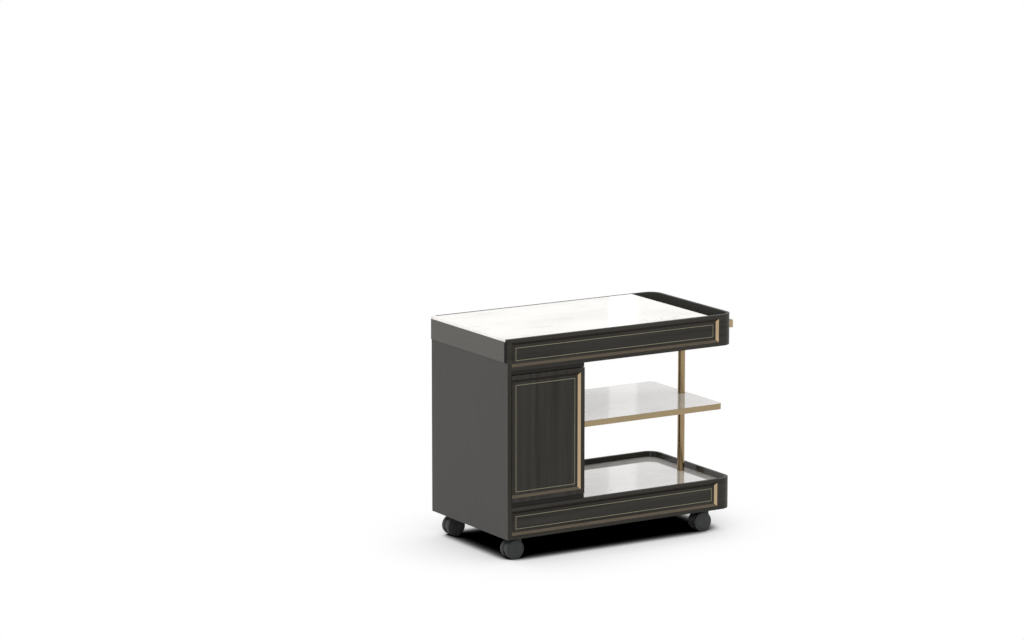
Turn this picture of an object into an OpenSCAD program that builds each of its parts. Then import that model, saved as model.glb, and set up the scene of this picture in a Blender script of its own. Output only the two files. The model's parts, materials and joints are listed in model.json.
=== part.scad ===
// Serving trolley: a closed cabinet at the left, an open shelf bay at the right,
// two box trays with marble tops, one brass column and four twin-wheel casters.
// Millimetres. X runs along the length, Y from the front to the back, Z up from the floor.

/* [Body] */
// Length from the left end panel's outer face to the right end
body_l = 1013; // [940:1:1250]
// Depth, front to back
body_d = 556; // [480:1:700]
// Height from the body's underside to the top rim
body_h = 760; // [700:1:860]
// Thickness of the cabinet boards
board_t = 16; // [14:0.5:20]
// Thickness of the deck boards under the marble
deck_t = 16; // [12:0.5:20]
// Width of the cabinet at the left
cabinet_w = 337; // [280:1:420]
// How far the top tray overhangs the left end panel
overhang = 3; // [1:0.5:8]

/* [Trays] */
// Thickness of the tray edge boards
fascia_t = 20; // [17:0.5:26]
// Thickness of their rim, where they are rebated
rim_t = 12; // [11:0.5:14]
// Outer radius of the trays' rounded corners
corner_r = 52; // [36:1:80]
// Height of the top tray's edge board
top_fascia_h = 120.5; // [110:0.5:150]
// Height of the base tray's edge board
base_fascia_h = 121; // [105:0.5:150]
// Height of the band at the left end
band_h = 79; // [60:0.5:90]
// Depth from the base tray's rim to its marble
tray_drop = 21; // [12:0.5:30]
// How far the base board is set up inside the base tray
base_recess = 10; // [6:0.5:14]
// Length of the open well at the right end of the top tray
well_l = 103; // [80:1:150]
// Thickness of the well's lining
lining_t = 4; // [3:0.5:8]
// Thickness of the battens inside the trays
rib_t = 18; // [14:0.5:24]

/* [Marble] */
// Thickness of the marble slabs
marble_t = 10.5; // [8:0.5:14]
// Joint left round a slab
marble_gap = 0.3; // [0.1:0.1:0.8]

/* [Door] */
// Thickness of the door and of the fixed back panel
door_t = 20; // [18:0.5:24]
// Joint round the door
door_gap = 2; // [1.5:0.1:3]
// How far the cabinet boards are set back behind the door's face
neck_set = 4; // [2:0.5:5]
// Distance of the pivot axis from the door's right edge
pivot_edge = 8; // [7:0.5:10]
// Distance of the pivot axis behind the door's face
pivot_back = 12; // [11:0.5:13]
// Radius of the pivot pins
pivot_r = 3; // [2:0.1:3.2]
// Wall of the pivot bushes
bush_wall = 1.5; // [1:0.1:2]
// Depth of the pivot pins in the bushes
bush_h = 11; // [8:0.5:12]

/* [Mouldings] */
// Width of the brass moulding strips
mould_w = 10.5; // [8:0.5:12]
// Depth of the recessed field
mould_d = 8; // [6:0.5:9]
// Width of the strip's flat lip
mould_lip = 1; // [0.5:0.1:2]
// Hairline gap at each mitre
mitre_gap = 0.15; // [0.1:0.05:0.4]
// Margin above and below the tray mouldings
tray_margin = 14; // [12:0.5:20]
// Margin right of the tray mouldings
tray_end_margin = 72; // [60:0.5:90]
// Margin above and right of the door moulding
door_margin = 16; // [14:0.5:24]
// Margin below the door moulding
door_low_margin = 17; // [14:0.5:24]
// Distance of the inlay inside the moulding's outer edge
inlay_in = 22; // [16:0.5:26]
// Width of the inlay
inlay_w = 1.5; // [1:0.1:4]
// Thickness of the inlay
inlay_t = 1.5; // [1:0.1:2]
// How far the inlay stands out of its groove
inlay_proud = 0.3; // [0.1:0.1:0.6]

/* [Open shelf] */
// Height of the shelf's top face above the body's underside
shelf_z = 407; // [330:0.5:480]
// Thickness of the shelf with its marble
shelf_t = 22.5; // [20:0.5:28]
// How far the shelf stays inside the right end
shelf_end = 30; // [24:0.5:35]
// How far it stays inside the front and the back
shelf_side = 33; // [28:0.5:60]
// Outer radius of the shelf's corners
shelf_r = 16; // [10:1:40]
// Thickness of the brass edge band
trim_t = 2; // [1.5:0.5:4]
// Width and height of the cleat on the cabinet
cleat = 12; // [10:0.5:16]
// Length of the cleat
cleat_l = 356; // [250:1:380]

/* [Column] */
// Outer radius of the column
column_r = 14; // [11:0.5:15]
// Wall of the column
column_wall = 2; // [1.5:0.1:2.5]
// Distance of the column's axis from the right end
column_end = 56; // [53:0.5:72]
// Radius of the tie rod inside the column
rod_r = 4; // [3:0.5:5]
// Width across the corners of a nut
nut_w = 15; // [13:0.5:17]
// Height of a nut
nut_h = 6.5; // [5:0.5:8]
// Radial width of the collar under the shelf
collar_w = 7; // [5:0.5:9]
// Height of the collar
collar_h = 11; // [8:0.5:14]

/* [Handle] */
// Distance of the handle's outer face from the right end
handle_out = 50; // [44:0.5:65]
// Length of the handle
handle_l = 388; // [300:1:420]
// Thickness of the handle's bar
handle_t = 12; // [11:0.5:16]
// Height of the handle's bar
handle_h = 30; // [24:0.5:36]
// Depth of the handle's centre below the top rim
handle_drop = 58; // [50:0.5:64]
// Radius of the handle's screws
handle_screw_r = 2; // [1.5:0.1:2.5]

/* [Inside the cabinet] */
// Height of the loose shelf's top above the cabinet floor
inner_shelf_z = 235; // [180:1:300]
// Radius of the shelf pins
pin_r = 2.5; // [2:0.1:3]
// Depth of a pin in the panel
pin_in = 8; // [6:0.5:10]
// Length of a pin under the shelf
pin_out = 7; // [5:0.5:9]
// Distance of the pins from the cabinet's front and back
pin_side = 60; // [50:1:90]
// Slack beside the loose shelf
shelf_slack = 1; // [0.5:0.1:1.5]
// Width and height of the latch housing
latch_w = 18; // [15:0.5:24]
// Length of the latch housing
latch_l = 52; // [48:0.5:70]
// Radius of the latch's plunger
plunger_r = 4; // [3:0.5:5]
// Length of the plunger
plunger_l = 36; // [30:0.5:38]
// Travel of the plunger
plunger_travel = 3; // [2:0.5:4]

/* [Casters] */
// Height from the floor to the top of a caster plate
caster_h = 98; // [96:0.5:110]
// Radius of a wheel
wheel_r = 37.5; // [34:0.5:38]
// Width of one wheel
wheel_w = 19; // [16:0.5:22]
// Width of the housing between the wheels
web_w = 11; // [10:0.5:14]
// Play beside a wheel
wheel_play = 1; // [0.5:0.1:1.5]
// Distance of the axle behind the swivel axis
trail = 27; // [25:0.5:32]
// Distance of the swivel axes from the body's ends
caster_end = 84; // [78:0.5:120]
// Distance of the swivel axes from the front and the back
caster_side = 63; // [60:0.5:90]
// Side of the square caster plate
plate_w = 60; // [56:1:70]
// Thickness of the caster plate
plate_t = 3; // [2.5:0.5:4]
// Radius of the kingpin
kingpin_r = 5.5; // [4.5:0.1:6]
// Length of the kingpin
kingpin_l = 19; // [14:0.5:20]
// Radius of the axle
axle_r = 4; // [3:0.5:5]
// Radius of the caster screws
screw_r = 2.5; // [2:0.1:3]

/* [Fits] */
// Radial play of a running fit
fit = 0.05; // [0.02:0.01:0.09]
// Gap left before a face that only just clears
seat = 0.3; // [0.2:0.1:0.5]

/* [Hidden] */
$fn = 72;

// A cut runs this far past the face it opens
over = 1;
// Total length, with the overhang and the handle
total_l = overhang + body_l + handle_out;
// The body's underside stands this far above the floor
ground = caster_h - base_recess;

// Heights above the body's underside, from the top down
marble_z = body_h - marble_t;
deck_z = marble_z - deck_t;
band_z = marble_z - band_h;
top_low_z = body_h - top_fascia_h;
lining_z = top_low_z + board_t;
cab_top_z = top_low_z - board_t;
cab_low_z = base_fascia_h + board_t;
base_marble_z = base_fascia_h - tray_drop;
base_ledge_z = base_marble_z - marble_t;
base_deck_z = base_ledge_z - deck_t;
shelf_low_z = shelf_z - shelf_t;

// Places along the length
well_x = body_l - rim_t - well_l;
column_x = body_l - column_end;
column_y = body_d / 2;
panel_x = cabinet_w - board_t;
board_end = body_l - fascia_t;
mould_x = board_t + door_gap;
mould_end = body_l - tray_end_margin;

// Door
door_x = board_t + door_gap;
door_z = cab_low_z + door_gap;
door_w = cabinet_w - door_x;
door_h = cab_top_z - door_gap - door_z;
pivot_x = cabinet_w - pivot_edge;
pivot_sweep = sqrt(pow(pivot_edge, 2) + pow(door_t - pivot_back, 2));
panel_front = pivot_back + pivot_sweep + 2 * seat;
bush_r = pivot_r + fit + bush_wall;

// Casters
caster_ends = [caster_end, body_l - caster_end];
caster_sides = [caster_side, body_d - caster_side];
axle_half = web_w / 2 + wheel_play + wheel_w * 0.8;
screw_at = plate_w / 2 - 3 * screw_r;

// Moves the body's frame to the middle of the whole trolley's footprint
module place() {
    translate([overhang - total_l / 2, -body_d / 2, ground]) children();
}

// A box given by its low and high corners
module block(low, high) {
    translate(low) cube(high - low);
}

// A cylinder along X, and one along Y
module rod_x(r, x0, x1, y, z) {
    translate([x0, y, z]) rotate([0, 90, 0]) cylinder(r = r, h = x1 - x0);
}
module rod_y(r, y0, y1, x, z) {
    translate([x, y0, z]) rotate([-90, 0, 0]) cylinder(r = r, h = y1 - y0);
}
module rod_z(r, z0, z1, x, y) {
    translate([x, y, z0]) cylinder(r = r, h = z1 - z0);
}

// A slab with two rounded corners at its right end. inset is its distance inside the
// trays' outline at the front, the right end and the back
module tray_slab(x0, inset, z0, z1) {
    rounded_slab(x0, body_l - inset, inset, body_d - inset, corner_r - inset, z0, z1);
}
module rounded_slab(x0, x1, y0, y1, r, z0, z1) {
    translate([0, 0, z0]) linear_extrude(z1 - z0) union() {
        translate([x0, y0]) square([x1 - r - x0, y1 - y0]);
        translate([x1 - r - over, y0 + r]) square([r + over, y1 - y0 - 2 * r]);
        translate([x1 - r, y0 + r]) circle(r);
        translate([x1 - r, y1 - r]) circle(r);
    }
}

// What fills the well inside its wall, between two heights
module well_slab(z0, z1) {
    intersection() {
        tray_slab(board_t, rim_t, z0, z1);
        block([well_x, 0, z0], [body_l, body_d, z1]);
    }
}

// The same thing at the front and mirrored at the back
module front_and_back() {
    children();
    translate([0, body_d, 0]) mirror([0, 1, 0]) children();
}

// One mitred strip of the brass moulding, along X, face at y = 0, outer edge at z = 0
module mould_strip(len) {
    land = 0.6;
    intersection() {
        rotate([90, 0, 90]) linear_extrude(len)
            polygon([[0, 0], [0, mould_lip], [mould_d - land, mould_w], [mould_d, mould_w],
                [mould_d, 0]]);
        translate([0, mould_d + over, 0]) rotate([90, 0, 0]) linear_extrude(mould_d + 2 * over)
            polygon([[mitre_gap, 0], [len - mitre_gap, 0],
                [len - mitre_gap - mould_w, mould_w], [mitre_gap + mould_w, mould_w]]);
    }
}

// The four strips round a field of w by h
module mould_frame(w, h) {
    mould_strip(w);
    translate([0, 0, h]) mirror([0, 0, 1]) mould_strip(w);
    mirror([1, 0, -1]) mould_strip(h);
    translate([w, 0, 0]) mirror([1, 0, 0]) mirror([1, 0, -1]) mould_strip(h);
}

// The pocket that the moulding and its field are sunk in, open past the face
module field_pocket(w, h) {
    block([0, -over, 0], [w, mould_d, h]);
}

// The inlay's ring, from depth y0 to depth y1
module inlay_ring(w, h, y0, y1) {
    difference() {
        block([inlay_in, y0, inlay_in], [w - inlay_in, y1, h - inlay_in]);
        block([inlay_in + inlay_w, y0 - over, inlay_in + inlay_w],
            [w - inlay_in - inlay_w, y1 + over, h - inlay_in - inlay_w]);
    }
}
module inlay_groove(w, h) {
    inlay_ring(w, h, mould_d - over, mould_d + inlay_t - inlay_proud);
}
module inlay(w, h) {
    inlay_ring(w, h, mould_d - inlay_proud, mould_d + inlay_t - inlay_proud);
}

// Fields of the top tray, the base tray and the cabinet: place, width and height
field_w = mould_end - mould_x;
top_field_z = top_low_z + tray_margin;
top_field_h = top_fascia_h - 2 * tray_margin;
base_field_z = tray_margin;
base_field_h = base_fascia_h - 2 * tray_margin;
door_field_z = door_z + door_low_margin;
door_field_w = door_w - door_margin;
door_field_h = door_h - door_margin - door_low_margin;

module at_top_field() { translate([mould_x, 0, top_field_z]) children(); }
module at_base_field() { translate([mould_x, 0, base_field_z]) children(); }
module at_door_field() { translate([door_x, 0, door_field_z]) children(); }

// Top tray ------------------------------------------------------------------------------

module top_fascia() color("#35322d") place() difference() {
    tray_slab(-overhang, 0, top_low_z, body_h);
    // inside of the boards
    tray_slab(-overhang - over, fascia_t, top_low_z - over, body_h + over);
    // rebate that holds the marble
    tray_slab(-overhang - over, rim_t, marble_z, body_h + over);
    // thinner wall round the well, over its whole height
    well_slab(top_low_z - over, body_h + over);
    // notches over the left end panel
    block([-overhang - over, -over, top_low_z - over], [board_t, body_d + over, band_z]);
    // at the back the band and the marble run through to the corner
    block([-overhang - over, body_d / 2, band_z - over], [board_t, body_d + over, body_h + over]);
    front_and_back() {
        at_top_field() field_pocket(field_w, top_field_h);
        at_top_field() inlay_groove(field_w, top_field_h);
    }
    handle_holes();
}

module top_mouldings() color("#b59a6c") place() front_and_back()
    at_top_field() mould_frame(field_w, top_field_h);

module top_inlays() color("#b59a6c") place() front_and_back()
    at_top_field() inlay(field_w, top_field_h);

module end_band() color("#66645f") place()
    block([-overhang, fascia_t, band_z], [board_t, body_d, marble_z]);

module top_deck() color("#8a7355") place()
    block([board_t, fascia_t, deck_z], [well_x - board_t, body_d - fascia_t, marble_z]);

module top_marble() color("#eeebe6") place() {
    block([-overhang, rim_t + marble_gap, marble_z], [well_x, body_d - rim_t - marble_gap, body_h]);
    // tongue at the back left corner
    block([-overhang, body_d / 2, marble_z], [board_t - marble_gap, body_d, body_h]);
}

module top_underside_board() color("#4a463f") place() difference() {
    union() {
        tray_slab(board_t, fascia_t, top_low_z, lining_z);
        well_slab(top_low_z, lining_z);
    }
    rod_z(rod_r + over, top_low_z - over, lining_z + over, column_x, column_y);
    // counterbore for the tie rod's nut
    rod_z(nut_w / 2 + over, lining_z - nut_h - over, lining_z + over, column_x, column_y);
}

module well_divider() color("#2b2925") place()
    block([well_x - board_t, fascia_t, lining_z], [well_x, body_d - fascia_t, marble_z]);

module well_lining() color("#232120") place() well_slab(lining_z, lining_z + lining_t);

// Battens across both trays
base_rib_xs = [board_t, panel_x, (panel_x + column_x) / 2, column_x - 3 * rib_t];
top_rib_xs = [board_t, panel_x, (panel_x + well_x) / 2];
module tray_ribs() color("#8a7355") place() {
    for (x = base_rib_xs)
        block([x, fascia_t, base_recess + board_t], [x + rib_t, body_d - fascia_t, base_deck_z]);
    for (x = top_rib_xs)
        block([x, fascia_t, lining_z], [x + rib_t, body_d - fascia_t, deck_z]);
}

// Base tray -----------------------------------------------------------------------------

module bottom_fascia() color("#35322d") place() difference() {
    tray_slab(board_t, 0, 0, base_fascia_h);
    // inside of the boards
    tray_slab(board_t - over, fascia_t, -over, base_fascia_h + over);
    // rebate that holds the marble
    intersection() {
        tray_slab(board_t, rim_t, base_ledge_z, base_fascia_h + over);
        block([cabinet_w, 0, base_ledge_z], [body_l, body_d, base_fascia_h + over]);
    }
    front_and_back() {
        at_base_field() field_pocket(field_w, base_field_h);
        at_base_field() inlay_groove(field_w, base_field_h);
    }
}

module bottom_mouldings() color("#b59a6c") place() front_and_back()
    at_base_field() mould_frame(field_w, base_field_h);

module bottom_inlays() color("#b59a6c") place() front_and_back()
    at_base_field() inlay(field_w, base_field_h);

module base_bottom_board() color("#3c3a36") place() difference() {
    tray_slab(board_t, fascia_t, base_recess, base_recess + board_t);
    translate([0, 0, -ground]) at_casters() caster_screw_holes();
}

module base_deck() color("#8a7355") place() difference() {
    tray_slab(board_t, fascia_t, base_deck_z, base_ledge_z);
    rod_z(rod_r + fit, base_deck_z - over, base_ledge_z + over, column_x, column_y);
}

module bottom_marble() color("#eeebe6") place() difference() {
    tray_slab(cabinet_w + marble_gap, rim_t + marble_gap, base_ledge_z, base_marble_z);
    // the column passes through and stands on the deck, so it never loads the stone
    rod_z(column_r + seat, base_ledge_z - over, base_marble_z + over, column_x, column_y);
}

// Cabinet -------------------------------------------------------------------------------

module side_panel_left() color("#53514e") place() difference() {
    block([0, 0, 0], [board_t, body_d, band_z]);
    shelf_pin_holes();
}

module cabinet_side_right() color("#53514e") place() difference() {
    block([panel_x, panel_front, cab_low_z], [cabinet_w, body_d - door_t, cab_top_z]);
    shelf_pin_holes();
}

module cabinet_top_board() color("#2b2a28") place() difference() {
    block([board_t, neck_set, cab_top_z], [cabinet_w, body_d - neck_set, top_low_z]);
    rod_z(bush_r, cab_top_z - over, cab_top_z + bush_h + seat, pivot_x, pivot_back);
}

module cabinet_floor_board() color("#2b2a28") place() difference() {
    block([board_t, neck_set, base_fascia_h], [cabinet_w, body_d - neck_set, cab_low_z]);
    rod_z(bush_r, cab_low_z - bush_h - seat, cab_low_z + over, pivot_x, pivot_back);
}

module cabinet_plinth() color("#2b2a28") place() difference() {
    block([board_t, fascia_t, base_ledge_z], [cabinet_w, body_d - fascia_t, base_fascia_h]);
    block([2 * board_t, fascia_t + board_t, base_ledge_z - over],
        [panel_x, body_d - fascia_t - board_t, base_fascia_h + over]);
}

module cabinet_back_panel() color("#35322d") place() difference() {
    block([board_t, body_d - door_t, cab_low_z], [cabinet_w, body_d, cab_top_z]);
    translate([0, body_d, 0]) mirror([0, 1, 0]) at_door_field() {
        field_pocket(door_field_w, door_field_h);
        inlay_groove(door_field_w, door_field_h);
    }
}

module back_panel_moulding() color("#b59a6c") place()
    translate([0, body_d, 0]) mirror([0, 1, 0])
        at_door_field() mould_frame(door_field_w, door_field_h);

module back_panel_inlay() color("#b59a6c") place()
    translate([0, body_d, 0]) mirror([0, 1, 0])
        at_door_field() inlay(door_field_w, door_field_h);

inner_top = cab_low_z + inner_shelf_z;
inner_low = inner_top - board_t;
inner_front = panel_front + 2 * shelf_slack;
inner_back = body_d - door_t - 2 * shelf_slack;
module cabinet_shelf() color("#6b6256") place()
    block([board_t + shelf_slack, inner_front, inner_low],
        [panel_x - shelf_slack, inner_back, inner_top]);

// Pins stand in both panels and carry the loose shelf
pin_ys = [panel_front + pin_side, body_d - door_t - pin_side];
pin_z = inner_low - pin_r;
module shelf_pins() color("#b59a6c") place() for (y = pin_ys) {
    rod_x(pin_r, board_t - pin_in, board_t + pin_out, y, pin_z);
    rod_x(pin_r, panel_x - pin_out, panel_x + pin_in, y, pin_z);
}
module shelf_pin_holes() for (y = pin_ys)
    rod_x(pin_r, board_t - pin_in, panel_x + pin_in, y, pin_z);

// Push latch under the cabinet's top board, behind the door's free edge
latch_x = door_x + door_margin + latch_w;
latch_y = panel_front + seat;
latch_z = cab_top_z - latch_w / 2;
plunger_y = door_t + seat;
module latch_housing() color("#3a3a3a") place() difference() {
    block([latch_x - latch_w / 2, latch_y, cab_top_z - latch_w],
        [latch_x + latch_w / 2, latch_y + latch_l, cab_top_z]);
    rod_y(plunger_r + fit, latch_y - over, plunger_y + plunger_l + plunger_travel + over,
        latch_x, latch_z);
}
module latch_plunger() color("#b9b9b5") place()
    rod_y(plunger_r, plunger_y, plunger_y + plunger_l, latch_x, latch_z);

// Door, turning on two pins near its right edge -------------------------------------------

module door_panel() color("#35322d") place() difference() {
    block([door_x, 0, door_z], [cabinet_w, door_t, door_z + door_h]);
    at_door_field() {
        field_pocket(door_field_w, door_field_h);
        translate([-over, 0, 0]) field_pocket(2 * over, door_field_h);
        inlay_groove(door_field_w, door_field_h);
    }
    rod_z(pivot_r, door_z - over, door_z + door_t, pivot_x, pivot_back);
    rod_z(pivot_r, door_z + door_h - door_t, door_z + door_h + over, pivot_x, pivot_back);
}

module door_moulding() color("#b59a6c") place()
    at_door_field() mould_frame(door_field_w, door_field_h);

module door_inlay() color("#b59a6c") place()
    at_door_field() inlay(door_field_w, door_field_h);

module door_pivots() color("#b9b9b5") place() {
    rod_z(pivot_r, cab_low_z - bush_h, door_z + door_t, pivot_x, pivot_back);
    rod_z(pivot_r, door_z + door_h - door_t, cab_top_z + bush_h, pivot_x, pivot_back);
    // collar on the lower pin, which carries the door's weight
    rod_z(bush_r, cab_low_z + seat, door_z, pivot_x, pivot_back);
}

module pivot_bushes() color("#b59a6c") place() for (z = [cab_low_z - bush_h, cab_top_z])
    difference() {
        rod_z(bush_r, z, z + bush_h, pivot_x, pivot_back);
        rod_z(pivot_r + fit, z - over, z + bush_h + over, pivot_x, pivot_back);
    }

// Open shelf and column -------------------------------------------------------------------

module shelf_outline(inset, z0, z1) {
    rounded_slab(cabinet_w, body_l - shelf_end - inset, shelf_side + inset,
        body_d - shelf_side - inset, shelf_r - inset, z0, z1);
}
module shelf_column_hole() {
    rod_z(column_r + seat, shelf_low_z - over, shelf_z + over, column_x, column_y);
}

module shelf_edge_trim() color("#b59a6c") place() difference() {
    shelf_outline(0, shelf_low_z, shelf_z);
    translate([-over, 0, 0]) shelf_outline(trim_t, shelf_low_z - over, shelf_z + over);
    shelf_outline(trim_t, shelf_low_z - over, shelf_z + over);
}

module shelf_core() color("#4a463f") place() difference() {
    shelf_outline(trim_t, shelf_low_z, shelf_z - marble_t);
    shelf_column_hole();
}

module shelf_marble() color("#eeebe6") place() difference() {
    shelf_outline(trim_t, shelf_z - marble_t, shelf_z);
    shelf_column_hole();
}

module shelf_collar() color("#b59a6c") place() difference() {
    rod_z(column_r + collar_w, shelf_low_z - collar_h, shelf_low_z, column_x, column_y);
    rod_z(column_r, shelf_low_z - collar_h - over, shelf_low_z + over, column_x, column_y);
}

module shelf_cleat() color("#2b2a28") place()
    block([cabinet_w, column_y - cleat_l / 2, shelf_low_z - cleat],
        [cabinet_w + cleat, column_y + cleat_l / 2, shelf_low_z]);

module column_tube() color("#b59a6c") place() difference() {
    rod_z(column_r, base_ledge_z, top_low_z, column_x, column_y);
    rod_z(column_r - column_wall, base_ledge_z - over, top_low_z + over, column_x, column_y);
}

rod_low = base_deck_z - nut_h - over;
rod_high = lining_z - over / 2;
module column_tie_rod() color("#b9b9b5") place() {
    rod_z(rod_r, rod_low, rod_high, column_x, column_y);
    translate([column_x, column_y, base_deck_z - nut_h]) cylinder(r = nut_w / 2, h = nut_h, $fn = 6);
    translate([column_x, column_y, lining_z - nut_h - over])
        cylinder(r = nut_w / 2, h = nut_h, $fn = 6);
}

// Handle ----------------------------------------------------------------------------------

handle_z = body_h - handle_drop;
handle_ys = [body_d / 2 - handle_l / 2, body_d / 2 + handle_l / 2 - handle_t];
leg_set = 1.5;
screw_in = 16;
screw_head = 2.4;
module handle_bar() color("#b59a6c") place() difference() {
    union() {
        block([body_l + handle_out - handle_t, handle_ys[0], handle_z - handle_h / 2],
            [body_l + handle_out, handle_ys[1] + handle_t, handle_z + handle_h / 2]);
        for (y = handle_ys)
            block([body_l, y, handle_z - handle_h / 2 + leg_set],
                [body_l + handle_out - handle_t, y + handle_t, handle_z + handle_h / 2 - leg_set]);
    }
    for (y = handle_ys)
        rod_x(handle_screw_r, body_l - over, body_l + screw_in, y + handle_t / 2, handle_z);
}
module handle_holes() for (y = handle_ys) {
    rod_x(handle_screw_r, body_l - rim_t - over, body_l + over, y + handle_t / 2, handle_z);
    rod_x(handle_screw_r * 2, body_l - rim_t - over, body_l - rim_t + screw_head,
        y + handle_t / 2, handle_z);
}
module handle_screws() color("#b9b9b5") place() for (y = handle_ys) {
    rod_x(handle_screw_r, body_l - rim_t, body_l + screw_in, y + handle_t / 2, handle_z);
    rod_x(handle_screw_r * 2, body_l - rim_t, body_l - rim_t + screw_head,
        y + handle_t / 2, handle_z);
}

// Casters, each modelled about its swivel axis with z = 0 on the floor ---------------------

module at_caster(i) {
    translate([caster_ends[i % 2], caster_sides[floor(i / 2)], 0]) children();
}
module at_casters() for (i = [0:3]) at_caster(i) children();
module place_caster(i) {
    translate([0, 0, -ground]) place() at_caster(i) children();
}

plate_low = caster_h - plate_t;
flange_t = 4;
boss_low = plate_low - kingpin_l - 2;
flange_r = kingpin_r + 14;
boss_r = kingpin_r + 5.5;
screw_l = 13;
screw_head_h = 2.5;

module caster_screw_places() for (x = [-1, 1], y = [-1, 1])
    translate([x * screw_at, y * screw_at, 0]) children();
module caster_screw_holes() caster_screw_places()
    rod_z(screw_r, plate_low - over, caster_h + screw_l, 0, 0);

module caster_plates() color("#8f9092") translate([0, 0, -ground]) place() at_casters() {
    difference() {
        block([-plate_w / 2, -plate_w / 2, plate_low], [plate_w / 2, plate_w / 2, caster_h]);
        caster_screw_holes();
    }
    rod_z(kingpin_r, plate_low - kingpin_l, plate_low + plate_t / 2, 0, 0);
}

module caster_screws() color("#b9b9b5") translate([0, 0, -ground]) place() at_casters()
    caster_screw_places() {
        rod_z(screw_r, plate_low, caster_h + screw_l, 0, 0);
        rod_z(screw_r * 1.8, plate_low - screw_head_h, plate_low, 0, 0);
    }

// Swivel housing: flange and boss round the kingpin, and the web between the wheels
module caster_housing(i) color("#2f3032") place_caster(i) difference() {
    union() {
        rod_z(flange_r, plate_low - seat - flange_t, plate_low - seat, 0, 0);
        rod_z(boss_r, boss_low, plate_low - seat, 0, 0);
        translate([0, web_w / 2, 0]) rotate([90, 0, 0]) linear_extrude(web_w) web_outline();
    }
    rod_z(kingpin_r + fit, plate_low - kingpin_l - seat, plate_low + over, 0, 0);
    rod_y(axle_r, -web_w, web_w, -trail, wheel_r);
}
module web_outline() {
    hood_r = wheel_r - 2.5;
    difference() {
        translate([-trail, wheel_r]) circle(hood_r);
        translate([-trail - wheel_r, -over]) square([2 * wheel_r, wheel_r - axle_r - 3 + over]);
    }
    translate([-trail, wheel_r]) circle(axle_r + 5);
    translate([-trail + axle_r, wheel_r + axle_r])
        square([trail - axle_r + boss_r, plate_low - seat - wheel_r - axle_r]);
}

module caster_axle(i) color("#b9b9b5") place_caster(i)
    rod_y(axle_r, -axle_half, axle_half, -trail, wheel_r);

// A wheel turned about its axle: rounded tread, sunk ring on its face, blind bore.
// side is -1 for the wheel nearer the front of the trolley and 1 for the other
module wheel(i, side) color("#2b2c2e") place_caster(i)
    translate([-trail, 0, wheel_r]) rotate([side > 0 ? -90 : 90, 0, 0])
        translate([0, 0, web_w / 2 + wheel_play]) difference() {
            rotate_extrude() wheel_section();
            translate([0, 0, -over])
                cylinder(r = axle_r + fit, h = axle_half - web_w / 2 - wheel_play + seat + over);
        }
module wheel_section() {
    edge = 2.5;
    ring_r = wheel_r - 7;
    ring_w = 1.6;
    ring_d = 1;
    polygon([[0, 0], [wheel_r - edge, 0], [wheel_r, edge], [wheel_r, wheel_w - edge],
        [wheel_r - edge, wheel_w], [ring_r + ring_w, wheel_w], [ring_r + ring_w, wheel_w - ring_d],
        [ring_r, wheel_w - ring_d], [ring_r, wheel_w], [0, wheel_w]]);
}

side_panel_left();
cabinet_side_right();
cabinet_back_panel();
back_panel_moulding();
back_panel_inlay();
cabinet_top_board();
cabinet_floor_board();
cabinet_plinth();
cabinet_shelf();
shelf_pins();
base_bottom_board();
base_deck();
tray_ribs();
bottom_fascia();
bottom_mouldings();
bottom_inlays();
bottom_marble();
top_fascia();
top_mouldings();
top_inlays();
end_band();
top_deck();
top_marble();
top_underside_board();
well_divider();
well_lining();
column_tube();
column_tie_rod();
shelf_core();
shelf_edge_trim();
shelf_marble();
shelf_collar();
shelf_cleat();
handle_bar();
handle_screws();
latch_housing();
pivot_bushes();
caster_plates();
caster_screws();
door_panel();
door_moulding();
door_inlay();
door_pivots();
latch_plunger();
caster_housing(0);  // caster_housing_front_left
caster_housing(1);  // caster_housing_front_right
caster_housing(2);  // caster_housing_back_left
caster_housing(3);  // caster_housing_back_right
caster_axle(0);  // caster_axle_front_left
caster_axle(1);  // caster_axle_front_right
caster_axle(2);  // caster_axle_back_left
caster_axle(3);  // caster_axle_back_right
wheel(0, -1);  // wheel_front_left_outer
wheel(0, 1);  // wheel_front_left_inner
wheel(1, -1);  // wheel_front_right_outer
wheel(1, 1);  // wheel_front_right_inner
wheel(2, 1);  // wheel_back_left_outer
wheel(2, -1);  // wheel_back_left_inner
wheel(3, 1);  // wheel_back_right_outer
wheel(3, -1);  // wheel_back_right_inner
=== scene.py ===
"""Looks of the serving trolley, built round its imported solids.

Lengths are metres in the trolley's own frame: X along its length, Y from the front
to the back, Z up from the floor.
"""

import json
import math

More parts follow.
